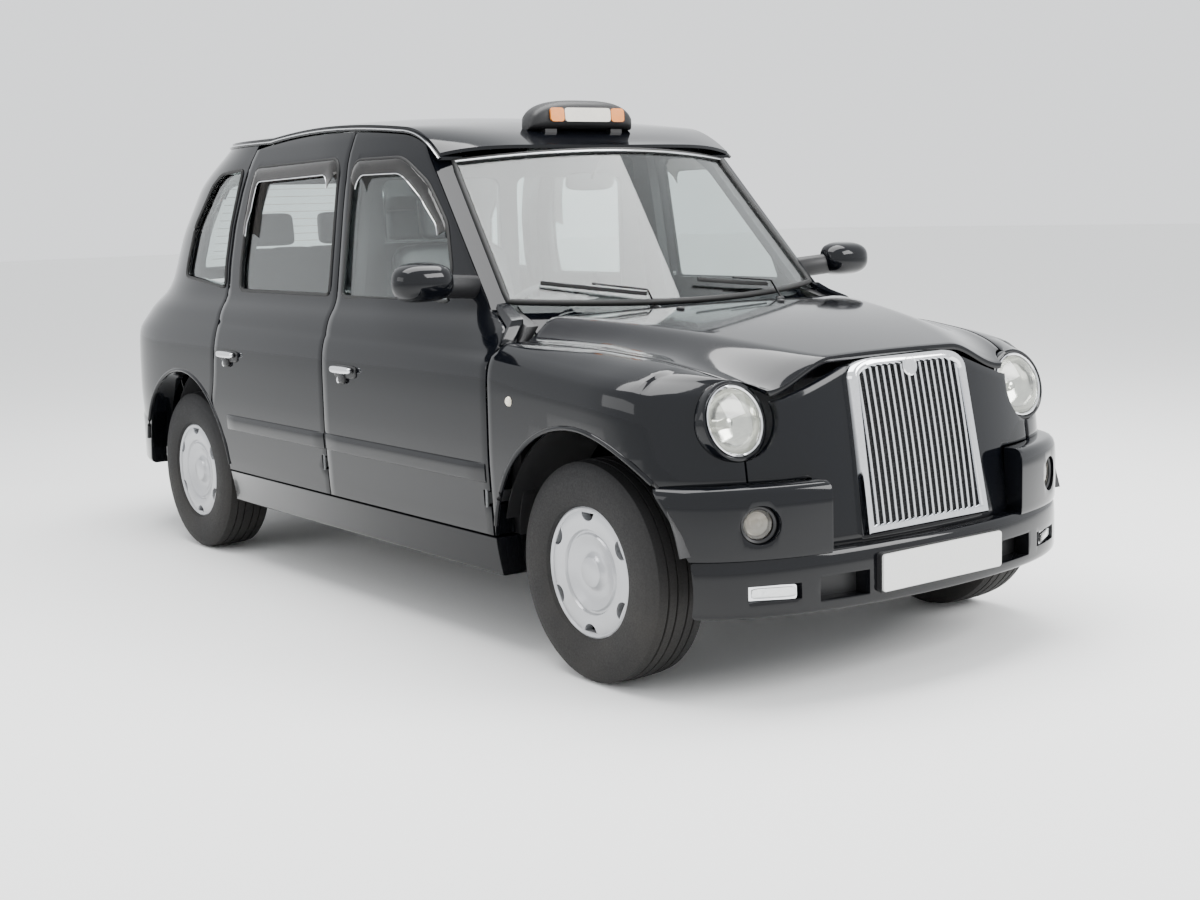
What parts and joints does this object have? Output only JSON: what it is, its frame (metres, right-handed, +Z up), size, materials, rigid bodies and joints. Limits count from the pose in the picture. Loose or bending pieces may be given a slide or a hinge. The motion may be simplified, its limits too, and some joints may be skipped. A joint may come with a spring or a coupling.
{
  "type": "taxi cab",
  "caption": "Full-size saloon taxi with a tall rounded cabin, opening doors, bonnet and boot, steered front wheels and a blank lozenge sign on the roof.",
  "frame": {"origin": "on the ground, midway along the length and across the width", "axes": "+X towards the front, +Y to the vehicle's left, +Z up"},
  "size_m": [4.58, 2.0862, 1.8331],
  "materials": {
    "body_paint": "gloss black",
    "underbody": "satin black",
    "bright_trim": "polished",
    "lens": "clear",
    "window_glass": "clear, light grey tint",
    "sign_plastic": "gloss",
    "pale_plastic": "grained, pale warm grey",
    "dark_plastic": "grained",
    "seat_cover": "soft satin",
    "engine_metal": "rough",
    "exhaust_steel": "dull",
    "tyre_rubber": "matt",
    "wheel_silver": "satin silver"
  },
  "bodies": {
    "body": {"floor_pan": "underbody", "scuttle": "body_paint", "right_side_frame": "body_paint", "left_side_frame": "body_paint", "roof": "body_paint", "front_wings": "body_paint", "front_panel": "body_paint", "grille": "bright_trim", "lamps": "lens", "bumpers": "body_paint", "rear_panel": "body_paint", "windscreen": "window_glass", "rear_windows": "window_glass", "roof_sign": "sign_plastic", "dashboard": "pale_plastic", "partition": "dark_plastic", "driver_seat": "seat_cover", "rear_bench": "seat_cover", "engine": "engine_metal", "fuel_tank": "underbody", "exhaust": "exhaust_steel", "rear_axle": "underbody", "front_subframe": "underbody"},
    "steering_wheel": {"steering_wheel": "dark_plastic"},
    "right_front_door": {"right_front_door": "body_paint", "right_front_glass": "window_glass", "right_mirror": "body_paint"},
    "left_front_door": {"left_front_door": "body_paint", "left_front_glass": "window_glass", "left_mirror": "body_paint"},
    "right_rear_door": {"right_rear_door": "body_paint", "right_rear_glass": "window_glass"},
    "left_rear_door": {"left_rear_door": "body_paint", "left_rear_glass": "window_glass"},
    "bonnet": {"bonnet": "body_paint"},
    "boot_lid": {"boot_lid": "body_paint"},
    "right_knuckle": {"right_knuckle": "underbody"},
    "left_knuckle": {"left_knuckle": "underbody"},
    "right_front_wheel": {"right_front_tyre": "tyre_rubber", "right_front_wheel": "wheel_silver"},
    "left_front_wheel": {"left_front_tyre": "tyre_rubber", "left_front_wheel": "wheel_silver"},
    "right_rear_wheel": {"right_rear_tyre": "tyre_rubber", "right_rear_wheel": "wheel_silver"},
    "left_rear_wheel": {"left_rear_tyre": "tyre_rubber", "left_rear_wheel": "wheel_silver"}
  },
  "joints": [
    {"name": "right_front_door_hinge", "type": "hinge", "parent": "body", "child": "right_front_door", "pos_m": [1.145, -0.88, 0.69], "axis": [0, 0, 1], "range_deg": [0, 68]},
    {"name": "left_front_door_hinge", "type": "hinge", "parent": "body", "child": "left_front_door", "pos_m": [1.145, 0.88, 0.69], "axis": [0, 0, -1], "range_deg": [0, 68]},
    {"name": "right_rear_door_hinge", "type": "hinge", "parent": "body", "child": "right_rear_door", "pos_m": [0.0315, -0.88, 0.69], "axis": [0, 0, 1], "range_deg": [0, 75]},
    {"name": "left_rear_door_hinge", "type": "hinge", "parent": "body", "child": "left_rear_door", "pos_m": [0.0315, 0.88, 0.69], "axis": [0, 0, -1], "range_deg": [0, 75]},
    {"name": "bonnet_hinge", "type": "hinge", "parent": "body", "child": "bonnet", "pos_m": [1.215, 0, 1.062], "axis": [0, -1, 0], "range_deg": [0, 48]},
    {"name": "boot_hinge", "type": "hinge", "parent": "body", "child": "boot_lid", "pos_m": [-2.12195, 0, 1.11], "axis": [0, 1, 0], "range_deg": [0, 100]},
    {"name": "steer_right", "type": "hinge", "parent": "body", "child": "right_knuckle", "pos_m": [1.622, -0.62, 0.343], "axis": [0, 0, 1], "range_deg": [-45, 45]},
    {"name": "steer_left", "type": "hinge", "parent": "body", "child": "left_knuckle", "pos_m": [1.622, 0.62, 0.343], "axis": [0, 0, 1], "range_deg": [-45, 45]},
    {"name": "steering_wheel_turn", "type": "hinge", "parent": "body", "child": "steering_wheel", "pos_m": [0.71, -0.37, 1.01], "axis": [-0.8829, 0, 0.4695], "range_deg": [-540, 540]},
    {"name": "right_front_wheel_turn", "type": "hinge", "parent": "right_knuckle", "child": "right_front_wheel", "pos_m": [1.622, -0.745, 0.343], "axis": [0, 1, 0], "continuous": true},
    {"name": "left_front_wheel_turn", "type": "hinge", "parent": "left_knuckle", "child": "left_front_wheel", "pos_m": [1.622, 0.745, 0.343], "axis": [0, 1, 0], "continuous": true},
    {"name": "right_rear_wheel_turn", "type": "hinge", "parent": "body", "child": "right_rear_wheel", "pos_m": [-1.264, -0.745, 0.343], "axis": [0, 1, 0], "continuous": true},
    {"name": "left_rear_wheel_turn", "type": "hinge", "parent": "body", "child": "left_rear_wheel", "pos_m": [-1.264, 0.745, 0.343], "axis": [0, 1, 0], "continuous": true}
  ],
  "couplings": [
    {"joint": "steer_left", "follows": "steer_right", "ratio": 1},
    {"joint": "steering_wheel_turn", "follows": "steer_right", "ratio": 12}
  ]
}
